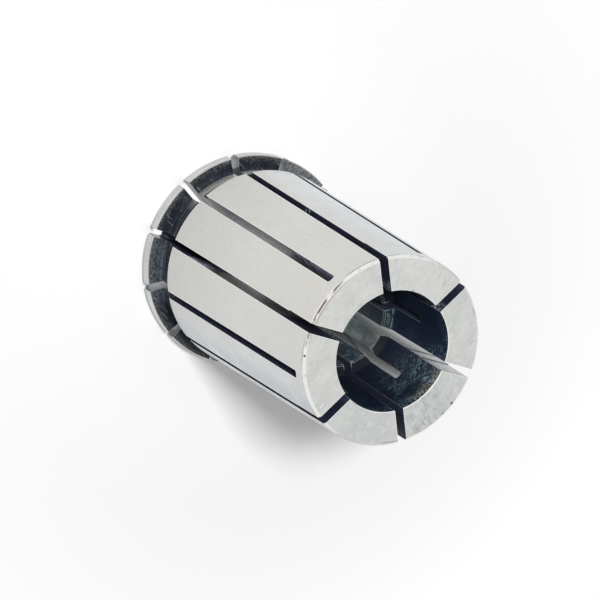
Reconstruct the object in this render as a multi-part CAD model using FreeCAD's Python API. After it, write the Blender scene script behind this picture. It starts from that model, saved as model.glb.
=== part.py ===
import FreeCAD, Part
import math
import os

# A double-slit spring collet for a slow-taper chuck, turned from one bar of spring steel, hardened and ground.
# It stands on the front face of its collar. The axis is +Z, the origin is the centre of that face,
# and the small end of the taper is on top. Lengths are millimetres, angles are degrees.

# Turned outside
overall_length = 52.0
collar_diameter = 35.05
front_cone_length = 1.7
front_cone_angle = 30.0
collar_land = 1.8
collar_edge_break = 0.15
collar_overhang = 1.43
groove_width = 4.7
groove_depth = 2.5
groove_corner_radius = 0.3
groove_edge_break = 0.15
taper_ratio = 10.0
small_end_chamfer = 0.35

# Stepped bore
clamp_bore_diameter = 14.0
clamp_bore_lead_in = 0.5
relief_bore_diameter = 17.7
relief_bore_depth = 15.5
step_chamfer = 0.25
relief_mouth_break = 0.1

# Saw slots: one set is open at the small end and the other, half a pitch round, at the collar
slots_per_end = 6
slot_width = 1.2
saw_diameter = 63.0
saw_tooth_chamfer = 0.2
saw_height_over_axis = 2.7
small_end_web = 2.3
collar_notch_depth = 2.85
mouth_step_width = 0.12
mouth_step_length = 6.5
cutter_overrun = 0.5

# Sizes that follow
collar_radius = collar_diameter / 2
clamp_radius = clamp_bore_diameter / 2
relief_radius = relief_bore_diameter / 2
front_face_radius = collar_radius - front_cone_length * math.tan(math.radians(front_cone_angle))
collar_back = front_cone_length + collar_land
taper_start = collar_back + groove_width
taper_length = overall_length - taper_start
groove_radius = collar_radius - groove_depth
large_end_radius = collar_radius - collar_overhang
small_end_radius = large_end_radius - taper_length / taper_ratio / 2
relief_floor = overall_length - relief_bore_depth
saw_radius = saw_diameter / 2
saw_centre_radius = saw_height_over_axis + saw_radius


def taper_radius(height):
    """Radius of the ground taper at a height over the collar's front face."""
    return large_end_radius - (height - taper_start) / taper_ratio / 2


def turned_section(corners):
    """Closed face in the XZ plane; each corner is (radius, height, rounding), and 0 leaves it sharp."""
    edges = []
    starts = []
    ends = []
    for i in range(len(corners)):
        radius, height, rounding = corners[i]
        here = FreeCAD.Vector(radius, 0, height)
        before = FreeCAD.Vector(corners[i - 1][0], 0, corners[i - 1][1]) - here
        after_corner = corners[(i + 1) % len(corners)]
        after = FreeCAD.Vector(after_corner[0], 0, after_corner[1]) - here
        before.normalize()
        after.normalize()
        half_angle = before.getAngle(after) / 2
        setback = rounding / math.tan(half_angle)
        start = here + before * setback
        end = here + after * setback
        starts.append(start)
        ends.append(end)
        if rounding > 0:
            inward = before + after
            inward.normalize()
            centre = here + inward * (rounding / math.sin(half_angle))
            edges.append(Part.Arc(start, centre - inward * rounding, end).toShape())
    for i in range(len(corners)):
        edges.append(Part.makeLine(ends[i - 1], starts[i]))
    return Part.Face(Part.Wire(Part.__sortEdges__(edges)))


def turned_blank():
    """The sleeve as it leaves the lathe, before it is slit."""
    corners = [
        (clamp_radius + clamp_bore_lead_in, 0, 0),
        (front_face_radius, 0, 0),
        (collar_radius, front_cone_length, 0),
        (collar_radius, collar_back - collar_edge_break, 0),
        (collar_radius - collar_edge_break, collar_back, 0),
        (groove_radius, collar_back, groove_corner_radius),
        (groove_radius, taper_start, groove_corner_radius),
        (large_end_radius - groove_edge_break, taper_start, 0),
        (taper_radius(taper_start + groove_edge_break), taper_start + groove_edge_break, 0),
        (taper_radius(overall_length - small_end_chamfer), overall_length - small_end_chamfer, 0),
        (small_end_radius - small_end_chamfer, overall_length, 0),
        (relief_radius + relief_mouth_break, overall_length, 0),
        (relief_radius, overall_length - relief_mouth_break, 0),
        (relief_radius, relief_floor, 0),
        (clamp_radius + step_chamfer, relief_floor, 0),
        (clamp_radius, relief_floor - step_chamfer, 0),
        (clamp_radius, clamp_bore_lead_in, 0),
    ]
    return turned_section(corners).revolve(FreeCAD.Vector(0, 0, 0), FreeCAD.Vector(0, 0, 1), 360)


def saw_path(centre_height, open_height):
    """Room that a slitting saw clears as it feeds along the axis from an open end and stops."""
    disc = Part.makeCylinder(
        saw_radius,
        slot_width,
        FreeCAD.Vector(saw_centre_radius, -slot_width / 2, centre_height),
        FreeCAD.Vector(0, 1, 0),
    )
    rims = [edge for edge in disc.Edges if edge.Curve.TypeId == "Part::GeomCircle"]
    disc = disc.makeChamfer(saw_tooth_chamfer, rims)
    low = min(centre_height, open_height)
    run = Part.makeBox(
        saw_diameter,
        slot_width,
        abs(open_height - centre_height),
        FreeCAD.Vector(saw_height_over_axis, -slot_width / 2, low),
    )
    return run.fuse(disc)


def collar_end_slot():
    """Slot open at the collar; the saw's curve leaves a web at the small end."""
    web_height = overall_length - small_end_web
    reach = saw_centre_radius - taper_radius(web_height)
    centre_height = web_height - math.sqrt(saw_radius ** 2 - reach ** 2)
    return saw_path(centre_height, -cutter_overrun)


def small_end_slot():
    """Slot open at the small end; the saw's curve runs out through the collar and notches its rim."""
    reach = saw_centre_radius - (collar_radius - collar_notch_depth)
    centre_height = math.sqrt(saw_radius ** 2 - reach ** 2)
    slot = saw_path(centre_height, overall_length + cutter_overrun)
    mouth_step = Part.makeBox(
        saw_diameter,
        mouth_step_width,
        mouth_step_length + cutter_overrun,
        FreeCAD.Vector(
            saw_height_over_axis,
            -slot_width / 2 - mouth_step_width,
            overall_length - mouth_step_length,
        ),
    )
    return slot.fuse(mouth_step)


def spaced_round(cutter, first_angle):
    """One cutter for each slot of a set, evenly spaced about the axis."""
    copies = []
    for i in range(slots_per_end):
        copy = cutter.copy()
        angle = first_angle + i * 360 / slots_per_end
        copy.rotate(FreeCAD.Vector(0, 0, 0), FreeCAD.Vector(0, 0, 1), angle)
        copies.append(copy)
    return copies


half_pitch = 180 / slots_per_end
cutters = spaced_round(small_end_slot(), 0) + spaced_round(collar_end_slot(), half_pitch)
spring_collet = turned_blank().cut(cutters).removeSplitter()

os.makedirs("parts", exist_ok=True)
spring_collet.exportStep("parts/spring_collet.step")

box = spring_collet.optimalBoundingBox(False, False)
print("solids", len(spring_collet.Solids), "valid", spring_collet.isValid(), "faces", len(spring_collet.Faces))
print("volume", round(spring_collet.Volume, 1))
print("box", round(box.XLength, 3), round(box.YLength, 3), round(box.ZLength, 3))
print("taper from", round(2 * small_end_radius, 3), "to", round(2 * large_end_radius, 3), "over", round(taper_length, 3))
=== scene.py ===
import math
import bmesh
import bpy
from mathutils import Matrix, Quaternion, Vector


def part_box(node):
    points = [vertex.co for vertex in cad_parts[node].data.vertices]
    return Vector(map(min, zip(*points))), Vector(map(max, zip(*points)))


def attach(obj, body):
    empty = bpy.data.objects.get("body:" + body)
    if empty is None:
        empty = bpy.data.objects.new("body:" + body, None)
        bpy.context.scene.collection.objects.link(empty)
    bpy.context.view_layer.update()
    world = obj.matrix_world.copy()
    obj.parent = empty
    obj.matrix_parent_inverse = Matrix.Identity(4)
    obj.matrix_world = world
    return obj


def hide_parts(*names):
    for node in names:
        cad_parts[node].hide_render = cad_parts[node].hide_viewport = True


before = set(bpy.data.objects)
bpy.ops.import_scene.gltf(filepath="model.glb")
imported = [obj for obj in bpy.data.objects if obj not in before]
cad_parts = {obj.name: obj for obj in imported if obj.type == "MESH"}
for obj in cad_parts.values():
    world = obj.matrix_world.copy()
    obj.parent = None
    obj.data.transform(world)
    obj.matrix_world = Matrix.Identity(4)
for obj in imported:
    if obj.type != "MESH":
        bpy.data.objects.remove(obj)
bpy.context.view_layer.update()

# The collet's sleeve is one bar of spring steel, turned, bored, and slit by a circular saw from both ends
# in turn. It was hardened after that, and then the taper, the collar's rim, both end faces and the
# clamping bore were ground. What the wheel didn't reach keeps the dark scale of the heat treatment.
mm = 0.001
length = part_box("spring_collet")[1].z / mm
collar_radius = 17.525
front_cone_length = 1.7
front_cone_angle = 30
collar_back = 3.5
collar_edge_break = 0.15
groove_radius = 15.025
groove_corner_radius = 0.3
taper_start = 8.2
taper_ratio = 10
large_end_radius = 16.095
groove_edge_break = 0.15
small_end_radius = large_end_radius - (length - taper_start) / taper_ratio / 2
small_end_chamfer = 0.35
relief_radius = 8.85
relief_mouth_break = 0.1
relief_floor = 36.5
step_chamfer = 0.25
clamp_radius = 7.0
clamp_lead_in = 0.5

# Corners of the turned section: radius, height, and the finish of the side from there to the next corner
turned_section = [
    (clamp_radius + clamp_lead_in, 0, "end_face"),
    (collar_radius - front_cone_length * math.tan(math.radians(front_cone_angle)), 0, "collar_rim"),
    (collar_radius, front_cone_length, "collar_rim"),
    (collar_radius, collar_back - collar_edge_break, "collar_rim"),
    (collar_radius - collar_edge_break, collar_back, "scale"),
    (groove_radius + groove_corner_radius, collar_back, "scale"),
    (groove_radius, collar_back + groove_corner_radius, "groove"),
    (groove_radius, taper_start - groove_corner_radius, "groove"),
    (groove_radius + groove_corner_radius, taper_start, "groove"),
    (large_end_radius - groove_edge_break, taper_start, "taper"),
    (large_end_radius, taper_start + groove_edge_break, "taper"),
    (small_end_radius, length - small_end_chamfer, "chamfer"),
    (small_end_radius - small_end_chamfer, length, "end_face"),
    (relief_radius + relief_mouth_break, length, "chamfer"),
    (relief_radius, length - relief_mouth_break, "relief_bore"),
    (relief_radius, relief_floor, "step"),
    (clamp_radius + step_chamfer, relief_floor, "clamp_bore"),
    (clamp_radius, relief_floor - step_chamfer, "clamp_bore"),
    (clamp_radius, clamp_lead_in, "clamp_bore"),
]
finishes = [
    "taper", "end_face", "chamfer", "collar_rim", "groove",
    "scale", "relief_bore", "step", "clamp_bore", "slot",
]

# A face is part of a turned side when it hardly looks round the axis, lies on the side within a tolerance
# and no more than a small share past its ends, and looks nearly the same way.
most_round_the_axis = 0.3
side_tolerance = 0.12 * mm
share_past_ends = 0.05
least_agreement = 0.86
weld_distance = 0.0005 * mm


def turned_sides():
    """Each side of the turned section: its start, its run, its outward normal, and its finish."""
    sides = []
    for i, (radius, height, finish) in enumerate(turned_section):
        next_radius, next_height, _ = turned_section[(i + 1) % len(turned_section)]
        run = Vector((next_radius - radius, next_height - height)) * mm
        normal = Vector((run.y, -run.x)).normalized()
        sides.append((Vector((radius, height)) * mm, run, normal, finish))
    return sides


def side_under(face, sides):
    """The turned side that a face is part of, or None if the saw made it."""
    centre = face.calc_center_median()
    outward = Vector((centre.x, centre.y, 0)).normalized()
    around = Vector((-outward.y, outward.x, 0))
    if abs(face.normal @ around) > most_round_the_axis:
        return None
    point = Vector((centre.xy.length, centre.z))
    normal = Vector((face.normal @ outward, face.normal.z))
    for side in sides:
        start, run, side_normal, _ = side
        share = (point - start) @ run / run.length_squared
        within = -share_past_ends < share < 1 + share_past_ends
        apart = abs((point - start) @ side_normal)
        if within and apart < side_tolerance and normal @ side_normal > least_agreement:
            return side
    return None


def turned_normal(point, side):
    """The true normal of a turned side at a point, so that its flat facets shade as the round surface."""
    outward = Vector((point.x, point.y, 0)).normalized()
    return outward * side[2].x + Vector((0, 0, side[2].y))


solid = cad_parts["spring_collet"]
sleeve = bpy.data.objects.new("collet_sleeve", bpy.data.meshes.new("collet_sleeve"))
bpy.context.scene.collection.objects.link(sleeve)
shape = bmesh.new()
shape.from_mesh(solid.data)
bmesh.ops.remove_doubles(shape, verts=shape.verts, dist=weld_distance)
shape.normal_update()
sides = turned_sides()
normals = []
for face in shape.faces:
    side = side_under(face, sides)
    face.smooth = True
    face.material_index = finishes.index(side[3] if side else "slot")
    for loop in face.loops:
        normals.append(turned_normal(loop.vert.co, side) if side else face.normal.copy())
shape.to_mesh(sleeve.data)
shape.free()
sleeve.data.normals_split_custom_set(normals)
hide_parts("spring_collet")
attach(sleeve, "root")


def colour(code):
    """An sRGB hex colour as linear red, green, blue and alpha."""
    values = [int(code[i:i + 2], 16) / 255 for i in (1, 3, 5)]
    return [v / 12.92 if v < 0.04045 else ((v + 0.055) / 1.055) ** 2.4 for v in values] + [1]


def add(tree, kind, inputs=None, **settings):
    """A node with its settings; an input that is a socket is linked, and any other value is set."""
    new = tree.nodes.new(kind)
    for name, value in settings.items():
        setattr(new, name, value)
    for name, value in (inputs or {}).items():
        if isinstance(value, bpy.types.NodeSocket):
            tree.links.new(value, new.inputs[name])
        else:
            new.inputs[name].default_value = value
    return new


def steel_finish(name, scale_ior=None):
    """A finish of the steel: its material, node tree and shader, and its Object coordinates in millimetres.

    Bare steel is a metal. Scale is an iron oxide, which isn't, and it has an index of refraction of its own.
    """
    material = bpy.data.materials.new(name)
    material.use_nodes = True
    tree = material.node_tree
    shader = tree.nodes["Principled BSDF"]
    shader.inputs["Metallic"].default_value = 0.0 if scale_ior else 1.0
    if scale_ior:
        shader.inputs["IOR"].default_value = scale_ior
    place = add(tree, "ShaderNodeTexCoord").outputs["Object"]
    place = add(tree, "ShaderNodeVectorMath", {0: place, "Scale": 1 / mm}, operation="SCALE").outputs[0]
    return material, tree, shader, place


def away_from_axis(tree, place):
    """Unit vector from the axis out through a point."""
    flat = add(tree, "ShaderNodeVectorMath", {0: place, 1: (1, 1, 0)}, operation="MULTIPLY").outputs[0]
    return add(tree, "ShaderNodeVectorMath", {0: flat}, operation="NORMALIZE").outputs[0]


def side_towards(tree, place, azimuth, spread, whole=0.5):
    """1 on the side of the axis at an azimuth, out to that part of the spread, and 0 from the spread on."""
    around = math.radians(azimuth)
    heading = {0: away_from_axis(tree, place), 1: (math.cos(around), math.sin(around), 0)}
    near = add(tree, "ShaderNodeVectorMath", heading, operation="DOT_PRODUCT").outputs["Value"]
    edges = {0: near, 1: math.cos(math.radians(spread)), 2: math.cos(math.radians(spread * whole))}
    return add(tree, "ShaderNodeMapRange", edges).outputs[0]


def patches(tree, place, grain, detail, low, high):
    """Soft patches from 0 to 1, about as wide as the grain in mm, where noise lies from low to high."""
    grey = add(tree, "ShaderNodeTexNoise", {"Vector": place, "Scale": 1 / grain, "Detail": detail}).outputs[0]
    return add(tree, "ShaderNodeMapRange", {0: grey, 1: low, 2: high}).outputs[0]


def round_lines(tree, place, per_turn, per_mm):
    """Coordinates that run slowly round the axis and fast along it, for marks of a tool or a wheel."""
    ring = {0: away_from_axis(tree, place), "Scale": per_turn}
    ring = add(tree, "ShaderNodeVectorMath", ring, operation="SCALE").outputs[0]
    rise = add(tree, "ShaderNodeVectorMath", {0: place, 1: (0, 0, per_mm)}, operation="MULTIPLY").outputs[0]
    return add(tree, "ShaderNodeVectorMath", {0: ring, 1: rise}, operation="ADD").outputs[0]


def thin_line(tree, value, middle, width):
    """1 where a coordinate in millimetres is within half the width of the middle, with soft edges."""
    away = add(tree, "ShaderNodeMath", {0: value, 1: middle}, operation="SUBTRACT").outputs[0]
    away = add(tree, "ShaderNodeMath", {0: away}, operation="ABSOLUTE").outputs[0]
    return add(tree, "ShaderNodeMapRange", {0: away, 1: 0.65 * width, 2: 0.35 * width}).outputs[0]


def nick(tree, place, radius, azimuth, height, size):
    """A small ragged mark at a place on the sleeve, as a mask."""
    around = math.radians(azimuth)
    spot = (radius * math.cos(around), radius * math.sin(around), height)
    away = add(tree, "ShaderNodeVectorMath", {0: place, 1: spot}, operation="DISTANCE").outputs["Value"]
    ragged = add(tree, "ShaderNodeTexNoise", {"Vector": place, "Scale": 3 / size, "Detail": 2}).outputs[0]
    reach = add(tree, "ShaderNodeMath", {0: ragged, 1: 2 * size}, operation="MULTIPLY").outputs[0]
    inside = add(tree, "ShaderNodeMath", {0: reach, 1: away}, operation="SUBTRACT").outputs[0]
    return add(tree, "ShaderNodeMapRange", {0: inside, 1: 0, 2: 0.3 * size}).outputs[0]


def edge_highlight_and_wear(tree, reach):
    """1 along an edge that was broken by hand, fading to 0 at the reach in millimetres to either side: the
    mask of a painted highlight along edges, which on scale also stands for wear.
    """
    rounded = add(tree, "ShaderNodeBevel", {"Radius": reach * mm}, samples=8).outputs[0]
    facing = {0: rounded, 1: add(tree, "ShaderNodeNewGeometry").outputs["Normal"]}
    level = add(tree, "ShaderNodeVectorMath", facing, operation="DOT_PRODUCT").outputs["Value"]
    return add(tree, "ShaderNodeMapRange", {0: level, 1: 0.99, 2: 0.9}).outputs[0]


def overlap(tree, first, *others):
    """The part of a mask that lies in all the others too."""
    for other in others:
        first = add(tree, "ShaderNodeMath", {0: first, 1: other}, operation="MULTIPLY").outputs[0]
    return first


def coloured(tree, shader, base, *layers):
    """Colours the shader: a base, and over it each layer's colour where its mask is 1."""
    under = colour(base)
    for code, mask in layers:
        layer = {0: mask, 6: under, 7: colour(code)}
        under = add(tree, "ShaderNodeMix", layer, data_type="RGBA").outputs[2]
    tree.links.new(under, shader.inputs["Base Color"])


def marked(tree, shader, marks, smooth, rough, depth):
    """Lets marks change the shader's roughness and stand out of the surface by a depth in millimetres."""
    spread = add(tree, "ShaderNodeMapRange", {0: marks, 3: smooth, 4: rough}).outputs[0]
    tree.links.new(spread, shader.inputs["Roughness"])
    bump = add(tree, "ShaderNodeBump", {"Height": marks, "Distance": depth * mm})
    tree.links.new(bump.outputs[0], shader.inputs["Normal"])


# Cylindrically ground steel: an even grey, faintly clouded, with the wheel's fine lines round it. They
# are some 0.03 mm apart on the real taper and are drawn five times that, so that they show. Just below
# the small end's chamfer runs a thin dark ring, in stretches, where the wheel ran off. Oil warms one
# side, which is duller towards the collar, and beside it lies a patchy painted shade.
def ground_taper():
    material, tree, shader, place = steel_finish("ground_steel")
    height = add(tree, "ShaderNodeSeparateXYZ", {0: place}).outputs["Z"]
    oiled = add(tree, "ShaderNodeMapRange", {0: side_towards(tree, place, 42, 62), 4: 0.7}).outputs[0]
    cloud = patches(tree, place, 14, 2, 0.36, 0.64)
    stain = patches(tree, place, 4.5, 4, 0.5, 0.8)
    near_collar = add(tree, "ShaderNodeMapRange", {0: height, 1: 32, 2: 8, 4: 0.75}).outputs[0]
    dulled = overlap(tree, near_collar, side_towards(tree, place, 62, 76, 0.8))
    # Painted shade: a patchy darker grey on one side of the taper
    painted_shading = overlap(tree, side_towards(tree, place, 124, 24), patches(tree, place, 6, 3, 0.3, 0.5))
    wisp = patches(tree, round_lines(tree, place, 7, 0.2), 1, 4, 0.56, 0.8)
    run_off = thin_line(tree, height, length - small_end_chamfer - 0.12, 0.22)
    ring = overlap(tree, run_off, patches(tree, round_lines(tree, place, 2.2, 0), 1, 3, 0.42, 0.5))
    faint_ring = overlap(tree, run_off, side_towards(tree, place, 12, 30))
    wiped = overlap(tree, run_off, side_towards(tree, place, 47, 26))
    spot = nick(tree, place, 14.63, 68.4, 36.7, 0.13)
    second_spot = nick(tree, place, 14.95, 39.4, 30.4, 0.12)
    third_spot = nick(tree, place, 14.42, -12.6, 41.1, 0.12)
    # The last layer is a painted highlight along the edges
    coloured(
        tree, shader, "#D0D4D6", ("#CBCFD1", cloud), ("#C5C6C5", stain), ("#D6D9DA", wisp),
        ("#D2CFC8", oiled), ("#BEBEBA", dulled), ("#B4B8BD", painted_shading), ("#A9A8A2", spot),
        ("#B4B3AD", second_spot), ("#B4B3AD", third_spot), ("#7A766E", ring), ("#94958E", faint_ring),
        ("#E4E3DE", wiped), ("#FAFAF8", edge_highlight_and_wear(tree, 0.18)),
    )
    wheel = patches(tree, round_lines(tree, place, 5, 7), 1, 2, 0.3, 0.7)
    marked(tree, shader, wheel, 0.27, 0.28, 0.00004)
    return material


def axis_distance(tree, place):
    """How far a point lies from the axis, in millimetres."""
    flat = add(tree, "ShaderNodeVectorMath", {0: place, 1: (1, 1, 0)}, operation="MULTIPLY").outputs[0]
    return add(tree, "ShaderNodeVectorMath", {0: flat}, operation="LENGTH").outputs["Value"]


def scratches(tree, place, heading, long, wide, least):
    """Straight scratches on a flat face: long along their heading and thin across it, both in millimetres."""
    settings = {"Vector": place, "Rotation": (0, 0, math.radians(heading)), "Scale": (long, wide, 1)}
    drawn = add(tree, "ShaderNodeMapping", settings, vector_type="TEXTURE").outputs[0]
    return patches(tree, drawn, 1, 1, least, least + 0.06)


# Face ground flat and scratched since: short fine scratches, mostly one way and in clusters, over faint
# stains, and scuffed on one side. The scratches are about 0.02 mm wide on the real face and are drawn
# five times that, so that they show. Beside the chamfer runs a thin ring of brown temper colour.
def ground_face():
    material, tree, shader, place = steel_finish("ground_steel_face")
    radius = axis_distance(tree, place)
    cloud = patches(tree, place, 3, 3, 0.38, 0.64)
    light = patches(tree, place, 0.9, 3, 0.56, 0.72)
    cluster = patches(tree, place, 3.2, 2, 0.42, 0.6)
    dark_cut = overlap(tree, scratches(tree, place, -41, 2.6, 0.11, 0.62), cluster)
    crossing = scratches(tree, place, -58, 1.8, 0.1, 0.68)
    light_cut = scratches(tree, place, -50, 2.2, 0.12, 0.66)
    scuffed = side_towards(tree, place, -158, 26)
    scuff = overlap(tree, scuffed, patches(tree, place, 1.2, 5, 0.5, 0.66))
    scored = overlap(tree, scuffed, scratches(tree, place, 35, 2.2, 0.12, 0.62))
    rim = thin_line(tree, radius, small_end_radius - small_end_chamfer - 0.08, 0.16)
    tempered = overlap(tree, rim, side_towards(tree, place, 47, 26))
    ring = overlap(tree, rim, patches(tree, round_lines(tree, place, 2.2, 0), 1, 3, 0.54, 0.62))
    dent = nick(tree, place, 13.36, -141.2, length, 0.22)
    second_dent = nick(tree, place, 13.43, -149.6, length, 0.15)
    third_dent = nick(tree, place, 9.05, -26.6, length, 0.12)
    # The last layer is a painted highlight along the edges
    coloured(
        tree, shader, "#CDCECB", ("#BEC1BF", side_towards(tree, place, 180, 80)), ("#C4C6C4", cloud),
        ("#D1D2CF", light), ("#A6A8A6", dark_cut), ("#ACAEAB", crossing), ("#E2E3E1", light_cut),
        ("#AFB3B3", scuff), ("#9DA0A2", scored), ("#8B8078", ring), ("#958D87", tempered), ("#4A4A4A", dent),
        ("#6A6A68", second_dent), ("#7A7A78", third_dent), ("#FAFAF9", edge_highlight_and_wear(tree, 0.17)),
    )
    grain = patches(tree, place, 0.14, 2, 0.3, 0.7)
    marked(tree, shader, grain, 0.33, 0.4, 0.0015)
    return material


# Turned edge break: bright, with a broken brown line of temper colour along it on one side, and one pit
def turned_chamfer():
    material, tree, shader, place = steel_finish("turned_steel")
    height = add(tree, "ShaderNodeSeparateXYZ", {0: place}).outputs["Z"]
    rub = patches(tree, round_lines(tree, place, 12, 2), 1, 3, 0.55, 0.7)
    tempered = side_towards(tree, place, 47, 26)
    broken = patches(tree, round_lines(tree, place, 11, 4), 1, 4, 0.42, 0.5)
    line = overlap(tree, thin_line(tree, height, length - 0.2, 0.2), broken, tempered)
    pit = nick(tree, place, 13.71, 76.2, length - 0.2, 0.2)
    coloured(
        tree, shader, "#E8E8E6", ("#CBCAC7", rub), ("#DDD9D4", tempered), ("#77706A", line), ("#4B4845", pit),
    )
    marked(tree, shader, rub, 0.24, 0.36, 0.002)
    return material


# Ground rim of the collar: bright, with the wheel's lines round it, and a painted highlight along its broken
# edges. The lines are drawn several times as wide as the real ones, as on the taper.
def ground_rim():
    material, tree, shader, place = steel_finish("ground_steel_rim")
    wheel = patches(tree, round_lines(tree, place, 4, 4), 1, 2, 0.4, 0.6)
    coloured(tree, shader, "#C8C8C6", ("#B0B2B3", wheel), ("#EEEEEC", edge_highlight_and_wear(tree, 0.1)))
    marked(tree, shader, wheel, 0.22, 0.32, 0.001)
    return material


# Turned floor of the groove: rough and dark, with its scale worn off on one side and streaked round the
# rest, both only below a strip in the corner under the taper, which is left dark as painted shade.
def turned_groove():
    material, tree, shader, place = steel_finish("turned_steel_groove")
    height = add(tree, "ShaderNodeSeparateXYZ", {0: place}).outputs["Z"]
    # Above this height, in the corner under the taper, the floor is left dark: painted shade
    low = add(tree, "ShaderNodeMapRange", {0: height, 1: 5.9, 2: 5.5}).outputs[0]
    worn = overlap(tree, side_towards(tree, place, 8, 32), low)
    streak = overlap(tree, patches(tree, round_lines(tree, place, 2.5, 2.2), 1, 4, 0.42, 0.56), low)
    speck = patches(tree, place, 0.3, 3, 0.6, 0.7)
    coloured(tree, shader, "#262A33", ("#737B88", streak), ("#DDE0DC", worn), ("#5E6167", speck))
    marked(tree, shader, speck, 0.5, 0.6, 0.003)
    return material


# Dark blue scale left by hardening, on the collar's inner face: matt, thin on one side and nearly bare on
# another. Handling has worn it to light specks towards the rim, and its scratches are drawn wider than
# they are.
def blue_scale():
    material, tree, shader, place = steel_finish("scaled_steel", 1.3)
    radius = axis_distance(tree, place)
    blotch = patches(tree, place, 1.3, 3, 0.4, 0.65)
    thin = overlap(tree, side_towards(tree, place, 80, 24), patches(tree, place, 0.5, 3, 0.3, 0.6))
    bald = overlap(tree, side_towards(tree, place, -48, 19, 0.9), patches(tree, place, 0.4, 4, 0.3, 0.6))
    near_rim = add(tree, "ShaderNodeMapRange", {0: radius, 1: 16, 2: collar_radius, 4: 0.17}).outputs[0]
    grey = add(tree, "ShaderNodeTexNoise", {"Vector": place, "Scale": 1 / 0.16, "Detail": 3}).outputs[0]
    grey = add(tree, "ShaderNodeMath", {0: grey, 1: near_rim}, operation="ADD").outputs[0]
    speck = add(tree, "ShaderNodeMapRange", {0: grey, 1: 0.62, 2: 0.76}).outputs[0]
    cut = scratches(tree, place, 35, 2.4, 0.14, 0.68)
    crossing = scratches(tree, place, -20, 1.6, 0.12, 0.7)
    outer = add(tree, "ShaderNodeMapRange", {0: radius, 1: 16, 2: 16.4}).outputs[0]
    # Painted highlight, and wear, along the outer edges
    edge = overlap(tree, edge_highlight_and_wear(tree, 0.09), outer)
    coloured(
        tree, shader, "#171A26", ("#1F232E", blotch), ("#50575F", thin), ("#7C8085", bald),
        ("#83847E", speck), ("#7C8088", cut), ("#545862", crossing), ("#C4C6C8", edge),
    )
    marked(tree, shader, speck, 0.36, 0.5, 0.002)
    return material


# The same scale in the bore, over the fine rings that the boring bar left. Towards the mouth on one side
# the rings carry a painted highlight of pale teal dashes, and there the scale is flecked and browned and has
# come off in spots at the rim. Another side of the bore is darkened with painted shade.
def scaled_bore():
    material, tree, shader, place = steel_finish("scaled_steel_bore", 1.42)
    height = add(tree, "ShaderNodeSeparateXYZ", {0: place}).outputs["Z"]
    rings = patches(tree, round_lines(tree, place, 6, 3.4), 1, 3, 0.35, 0.65)
    upper = add(tree, "ShaderNodeMapRange", {0: height, 1: 38, 2: 50}).outputs[0]
    mouth = add(tree, "ShaderNodeMapRange", {0: height, 1: 49.3, 2: 51.4}).outputs[0]
    at_rim = add(tree, "ShaderNodeMapRange", {0: height, 1: 50.0, 2: 51.2}).outputs[0]
    # Painted highlight: pale teal dashes along the rings on this side, towards the mouth
    highlight_side = side_towards(tree, place, -138, 36)
    dash = patches(tree, round_lines(tree, place, 16, 4.5), 1, 3, 0.5, 0.62)
    painted_highlight = overlap(tree, dash, highlight_side, upper, patches(tree, place, 2.4, 2, 0.34, 0.6))
    # Painted shade: a darker blue on this side of the bore
    painted_shade_side = side_towards(tree, place, -172, 50)
    bare_side = side_towards(tree, place, -142, 25)
    bare = overlap(tree, at_rim, bare_side, patches(tree, place, 0.4, 5, 0.46, 0.66))
    brown = overlap(tree, mouth, bare_side, patches(tree, place, 1.3, 4, 0.46, 0.6))
    flecks = overlap(tree, mouth, patches(tree, place, 0.3, 3, 0.55, 0.65))
    faint = overlap(tree, patches(tree, round_lines(tree, place, 5, 1.2), 1, 4, 0.54, 0.7), upper)
    # Painted highlight, and wear, along the edges in the upper bore
    edge = overlap(tree, edge_highlight_and_wear(tree, 0.08), upper)
    coloured(
        tree, shader, "#1E2942", ("#141C2F", painted_shade_side), ("#2A404F", faint), ("#7D90A8", flecks),
        ("#8FB0B8", painted_highlight), ("#554C44", brown), ("#BAB8AC", bare), ("#B9BDBF", edge),
    )
    marked(tree, shader, rings, 0.34, 0.42, 0.005)
    return material


# The step between the bores, turned with a few coarse rings. They shine through the scale in one place.
def turned_step():
    material, tree, shader, place = steel_finish("scaled_steel_step", 1.4)
    radius = axis_distance(tree, place)
    height = add(tree, "ShaderNodeSeparateXYZ", {0: place}).outputs["Z"]
    across = add(tree, "ShaderNodeCombineXYZ", {"X": radius, "Y": height}).outputs[0]
    rings = patches(tree, across, 0.22, 2, 0.48, 0.62)
    ragged = patches(tree, place, 0.8, 3, 0.4, 0.55)
    shining = overlap(tree, rings, side_towards(tree, place, -105, 17), ragged)
    inner = add(tree, "ShaderNodeMapRange", {0: radius, 1: 8, 2: 7.7}).outputs[0]
    # Painted highlight, and wear, along the inner edge
    edge = overlap(tree, edge_highlight_and_wear(tree, 0.12), inner)
    coloured(tree, shader, "#171D22", ("#7C95A0", shining), ("#D2D5D6", edge))
    marked(tree, shader, rings, 0.4, 0.5, 0.003)
    return material


def joined(tree, first, *others):
    """The greatest of several masks at each point."""
    for other in others:
        first = add(tree, "ShaderNodeMath", {0: first, 1: other}, operation="MAXIMUM").outputs[0]
    return first


def outside(tree, mask):
    """1 where a mask is 0, and 0 where it is 1."""
    return add(tree, "ShaderNodeMath", {0: 1.0, 1: mask}, operation="SUBTRACT").outputs[0]


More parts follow.
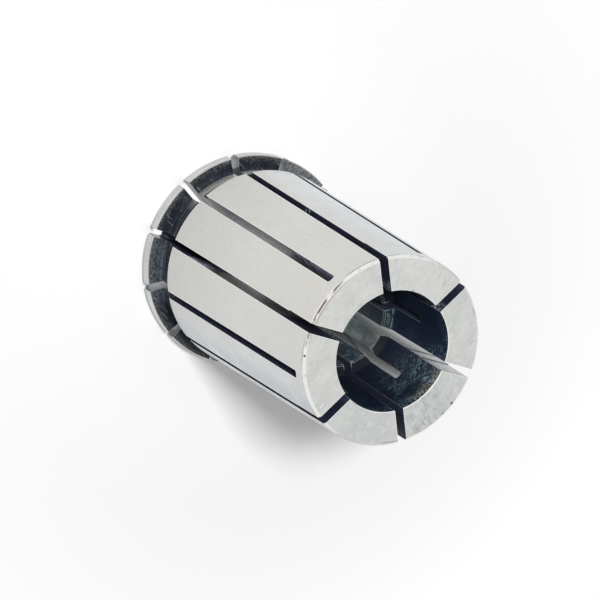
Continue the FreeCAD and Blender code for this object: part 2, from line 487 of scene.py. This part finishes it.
# Clamping bore, honed after hardening: a darker, slightly green grey, with oil stains. Two sides of it are
# darkened with painted shade, in a dark blue-grey that is not metal.
def honed_bore():
    material, tree, shader, place = steel_finish("honed_steel")
    stain = patches(tree, place, 3, 3, 0.4, 0.62)
    bright = patches(tree, round_lines(tree, place, 3, 0.15), 1, 2, 0.55, 0.65)
    left_dark = side_towards(tree, place, -172, 24, 0.8)
    right_dark = side_towards(tree, place, -90, 32, 0.85)
    # Painted shade on two sides: dark blue-grey, not metal
    painted_shade = joined(tree, left_dark, right_dark)
    blotch = overlap(tree, left_dark, patches(tree, place, 0.9, 4, 0.5, 0.62))
    # The last layer is a painted highlight, and wear, along the edges
    coloured(
        tree, shader, "#949B9B", ("#707A7B", stain), ("#A9AEAB", bright), ("#2A3742", painted_shade),
        ("#54707A", blotch), ("#D2D4D2", edge_highlight_and_wear(tree, 0.12)),
    )
    tree.links.new(outside(tree, painted_shade), shader.inputs["Metallic"])
    marked(tree, shader, stain, 0.24, 0.34, 0.001)
    return material


# Saw cut, covered with scale in hardening: a matt blue-black, crossed by the faint arcs of the saw's teeth,
# which are drawn a few times as far apart as they are. On a few walls, and in the notches in the collar's
# rim, the scale has worn off, on the walls in streaks along the cut. The steel there is grey, and mirrors
# what lies along the cut. One notch has kept its scale inside the rim, and the wall at azimuth 0 has a
# small scuff. Two stretches of wall carry a patchy pale painted light.
slots_per_end = 6
saw_radius = 31.5
saw_centre_radius = 34.2
mouth_step_length = 6.5
worn_notches = 0.72

# Worn walls: azimuth of the slot, lowest and highest point of the wear, and how far the scale has gone
worn_walls = [
    (30, 4, 37, 0.97),
    (60, 20, 42, 0.8),
    (-120, -2, 42, 0.86),
    (-120, 42, 54, 1.0),
    (-150, 15, 28, 0.85),
    (-150, 28, 54, 0.97),
]


def saw_arcs(tree, place, spacing, low, high):
    """The arcs that the saw's teeth leave on a slot's wall, each the saw's own radius, as a mask."""
    reach = {0: saw_centre_radius, 1: axis_distance(tree, place)}
    reach = add(tree, "ShaderNodeMath", reach, operation="SUBTRACT").outputs[0]
    square = add(tree, "ShaderNodeMath", {0: reach, 1: reach}, operation="MULTIPLY").outputs[0]
    square = add(tree, "ShaderNodeMath", {0: saw_radius ** 2, 1: square}, operation="SUBTRACT").outputs[0]
    sagitta = add(tree, "ShaderNodeMath", {0: square}, operation="SQRT").outputs[0]
    sides = add(tree, "ShaderNodeSeparateXYZ", {0: place}).outputs
    around = add(tree, "ShaderNodeMath", {0: sides["Y"], 1: sides["X"]}, operation="ARCTAN2").outputs[0]
    turns = add(tree, "ShaderNodeMath", {0: around, 1: slots_per_end}, operation="MULTIPLY").outputs[0]
    turns = add(tree, "ShaderNodeMath", {0: turns}, operation="COSINE").outputs[0]
    from_end = add(tree, "ShaderNodeMath", {0: turns}, operation="SIGN").outputs[0]
    arc = {0: sagitta, 1: from_end, 2: sides["Z"]}
    arc = add(tree, "ShaderNodeMath", arc, operation="MULTIPLY_ADD").outputs[0]
    cut = {"W": arc, "Scale": 1 / spacing, "Detail": 2}
    grey = add(tree, "ShaderNodeTexNoise", cut, noise_dimensions="1D").outputs[0]
    return add(tree, "ShaderNodeMapRange", {0: grey, 1: low, 2: high}).outputs[0]


def slot_walls(tree, place, azimuth, first, last):
    """1 on both walls of the slot at an azimuth, between two heights."""
    height = add(tree, "ShaderNodeSeparateXYZ", {0: place}).outputs["Z"]
    above = add(tree, "ShaderNodeMapRange", {0: height, 1: first - 1, 2: first + 1}).outputs[0]
    below = add(tree, "ShaderNodeMapRange", {0: height, 1: last + 1, 2: last - 1}).outputs[0]
    return overlap(tree, side_towards(tree, place, azimuth, 26), above, below)


def sawn_slot():
    material, tree, shader, place = steel_finish("sawn_steel", 1.4)
    radius = axis_distance(tree, place)
    height = add(tree, "ShaderNodeSeparateXYZ", {0: place}).outputs["Z"]
    arcs = saw_arcs(tree, place, 0.42, 0.45, 0.7)
    worn = add(tree, "ShaderNodeMapRange", {0: height, 1: 5.4, 2: 3.6, 4: worn_notches}).outputs[0]
    for azimuth, first, last, share in worn_walls:
        worn = joined(tree, worn, overlap(tree, slot_walls(tree, place, azimuth, first, last), share))
    inner = add(tree, "ShaderNodeMapRange", {0: radius, 1: 15.6, 2: 15.0}).outputs[0]
    kept = overlap(tree, slot_walls(tree, place, 60, -2, 14), inner)
    partly = add(tree, "ShaderNodeMapRange", {0: slot_walls(tree, place, 30, -2, 9), 4: 0.12}).outputs[0]
    worn = overlap(tree, worn, outside(tree, joined(tree, kept, partly)))
    # Painted light: a patchy pale grey on two stretches of slot wall
    painted_shading = joined(tree, slot_walls(tree, place, 60, 13.5, 20), slot_walls(tree, place, 30, 36, 54))
    painted_shading = overlap(tree, painted_shading, patches(tree, place, 1.1, 4, 0.3, 0.56))
    along = add(tree, "ShaderNodeCombineXYZ", {"X": radius, "Z": height}).outputs[0]
    along = add(tree, "ShaderNodeVectorMath", {0: along, 1: (5, 0, 0.2)}, operation="MULTIPLY").outputs[0]
    above_notch = add(tree, "ShaderNodeMapRange", {0: height, 1: 8, 2: 10}).outputs[0]
    streaked = overlap(tree, worn, above_notch)
    dark_streak = overlap(tree, patches(tree, along, 1, 3, 0.46, 0.64), streaked)
    light_streak = overlap(tree, patches(tree, along, 1.3, 3, 0.6, 0.7), streaked)
    pit = patches(tree, place, 0.6, 3, 0.64, 0.7)
    scrape = nick(tree, place, 14.45, -2.39, 27.1, 0.26)
    second_scrape = nick(tree, place, 14.65, -2.35, 28.3, 0.32)
    scuff = patches(tree, place, 0.7, 5, 0.68, 0.71)
    inner_mouth = add(tree, "ShaderNodeMapRange", {0: radius, 1: 10.4, 2: 9.6}).outputs[0]
    at_face = add(tree, "ShaderNodeMapRange", {0: height, 1: 46, 2: 49}).outputs[0]
    handled_side = side_towards(tree, place, -30, 60)
    handled = overlap(tree, inner_mouth, at_face, handled_side, patches(tree, place, 0.4, 4, 0.52, 0.6))
    at_step = thin_line(tree, height, length - mouth_step_length, 1.4)
    # Painted highlight, and wear, along the edges away from the step in the mouth
    edge = overlap(tree, edge_highlight_and_wear(tree, 0.1), outside(tree, at_step))
    coloured(
        tree, shader, "#1F2238", ("#282D42", arcs), ("#343B50", inner_mouth), ("#B9BAC8", painted_shading),
        ("#AEB2B4", worn), ("#3C3E48", dark_streak), ("#A6A9AE", light_streak), ("#2C2D3A", pit),
        ("#8C8F9B", scuff), ("#C2C3CC", scrape), ("#B4B5C0", second_scrape), ("#A8AAB6", handled),
        ("#C2C5C7", edge),
    )
    roughness = add(tree, "ShaderNodeMapRange", {0: worn, 3: 0.6, 4: 0.24}).outputs[0]
    tree.links.new(roughness, shader.inputs["Roughness"])
    tree.links.new(worn, shader.inputs["Metallic"])
    bump = add(tree, "ShaderNodeBump", {"Height": arcs, "Distance": 0.0006 * mm})
    tree.links.new(bump.outputs[0], shader.inputs["Normal"])
    return material


looks = {
    "taper": ground_taper(),
    "end_face": ground_face(),
    "chamfer": turned_chamfer(),
    "collar_rim": ground_rim(),
    "groove": turned_groove(),
    "scale": blue_scale(),
    "relief_bore": scaled_bore(),
    "step": turned_step(),
    "clamp_bore": honed_bore(),
    "slot": sawn_slot(),
}
for finish in finishes:
    sleeve.data.materials.append(looks[finish])

# Floor: a pale matt sheet that fills the picture. It shines a little for the camera and in reflections,
# so that it looks white, and most under the sleeve, because in the photograph the bore is open to the
# light there. Away from the sleeve it fades to plain white for the camera.
sheet_size = 2.0
floor_shine = 0.1
bore_light_reach = 16.0
bore_light_fade = 0.5
lit_reach = 40.0
white_from = 80.0


def rays(tree, *kinds):
    """1 for rays of these kinds, and 0 for all others."""
    path = add(tree, "ShaderNodeLightPath").outputs
    return joined(tree, *[path[kind] for kind in kinds])


floor = bpy.data.objects.new("floor", bpy.data.meshes.new("floor"))
bpy.context.scene.collection.objects.link(floor)
plane = bmesh.new()
bmesh.ops.create_grid(plane, x_segments=1, y_segments=1, size=sheet_size)
plane.to_mesh(floor.data)
plane.free()
sheet = bpy.data.materials.new("pale_sheet")
sheet.use_nodes = True
tree = sheet.node_tree
tree.nodes.clear()
matt = add(tree, "ShaderNodeBsdfDiffuse", {"Color": colour("#FCFCFC")}).outputs[0]
shine = add(tree, "ShaderNodeEmission", {"Color": colour("#FFFFFF"), "Strength": 1.0}).outputs[0]
seen = rays(tree, "Is Camera Ray", "Is Glossy Ray", "Is Transmission Ray")
place = add(tree, "ShaderNodeTexCoord").outputs["Object"]
out = add(tree, "ShaderNodeVectorMath", {0: place}, operation="LENGTH").outputs["Value"]
fade_end = bore_light_reach + bore_light_fade
reach = {0: out, 1: bore_light_reach * mm, 2: fade_end * mm, 3: 1.0, 4: floor_shine}
under = overlap(tree, seen, add(tree, "ShaderNodeMapRange", reach).outputs[0])
far = add(tree, "ShaderNodeMapRange", {0: out, 1: lit_reach * mm, 2: white_from * mm}).outputs[0]
far = overlap(tree, rays(tree, "Is Camera Ray"), far)
surface = add(tree, "ShaderNodeMixShader", {0: joined(tree, under, far), 1: matt, 2: shine}).outputs[0]
add(tree, "ShaderNodeOutputMaterial", {"Surface": surface})
floor.data.materials.append(sheet)

# Light: an even white sky, which lights matt things less than it shows in steel, and one small square
# lamp that faces the collet. The lamp's radiance stays the same when its size changes.
sky_on_matt = 0.31
lamp_azimuth = 27
lamp_elevation = 65
lamp_distance = 0.6
lamp_size = 0.08
lamp_radiance = 103


def direction(azimuth, elevation):
    """Unit vector from the part towards something, azimuth from +X and elevation above the floor."""
    around = math.radians(azimuth)
    up = math.radians(elevation)
    return Vector((math.cos(around) * math.cos(up), math.sin(around) * math.cos(up), math.sin(up)))


world = bpy.data.worlds.new("sky")
bpy.context.scene.world = world
world.use_nodes = True
tree = world.node_tree
seen = rays(tree, "Is Camera Ray", "Is Glossy Ray", "Is Transmission Ray")
strength = add(tree, "ShaderNodeMapRange", {0: seen, 3: sky_on_matt, 4: 1.0}).outputs[0]
sky = tree.nodes["Background"]
sky.inputs["Color"].default_value = colour("#FFFFFF")
tree.links.new(strength, sky.inputs["Strength"])

light = bpy.data.lights.new("key_lamp", "AREA")
light.size = lamp_size
light.energy = lamp_radiance * 4 * lamp_size ** 2
lamp = bpy.data.objects.new("key_lamp", light)
bpy.context.scene.collection.objects.link(lamp)
away = direction(lamp_azimuth, lamp_elevation)
lamp.location = away * lamp_distance
lamp.rotation_mode = "QUATERNION"
lamp.rotation_quaternion = (-away).to_track_quat("-Z", "Y")

# Camera: the photograph's own view of the collet, worked out from the edges of its turned circles
camera_azimuth = 45.83
camera_elevation = 58.61
camera_roll = 122.53
camera_aim = Vector((0.131, 1.393, 25.335)) * mm
camera_distance = 269.86 * mm
camera_lens = 107.06
sensor_width = 36
nearest_seen = 0.01
farthest_seen = 10
camera = bpy.data.objects.new("camera", bpy.data.cameras.new("camera"))
bpy.context.scene.collection.objects.link(camera)
camera.data.sensor_width = sensor_width
camera.data.lens = camera_lens
camera.data.clip_start = nearest_seen
camera.data.clip_end = farthest_seen
away = direction(camera_azimuth, camera_elevation)
camera.location = camera_aim + away * camera_distance
camera.rotation_mode = "QUATERNION"
roll = Quaternion((0, 0, 1), math.radians(camera_roll))
camera.rotation_quaternion = (-away).to_track_quat("-Z", "Y") @ roll
bpy.context.scene.camera = camera
bpy.context.scene.view_settings.view_transform = "Standard"
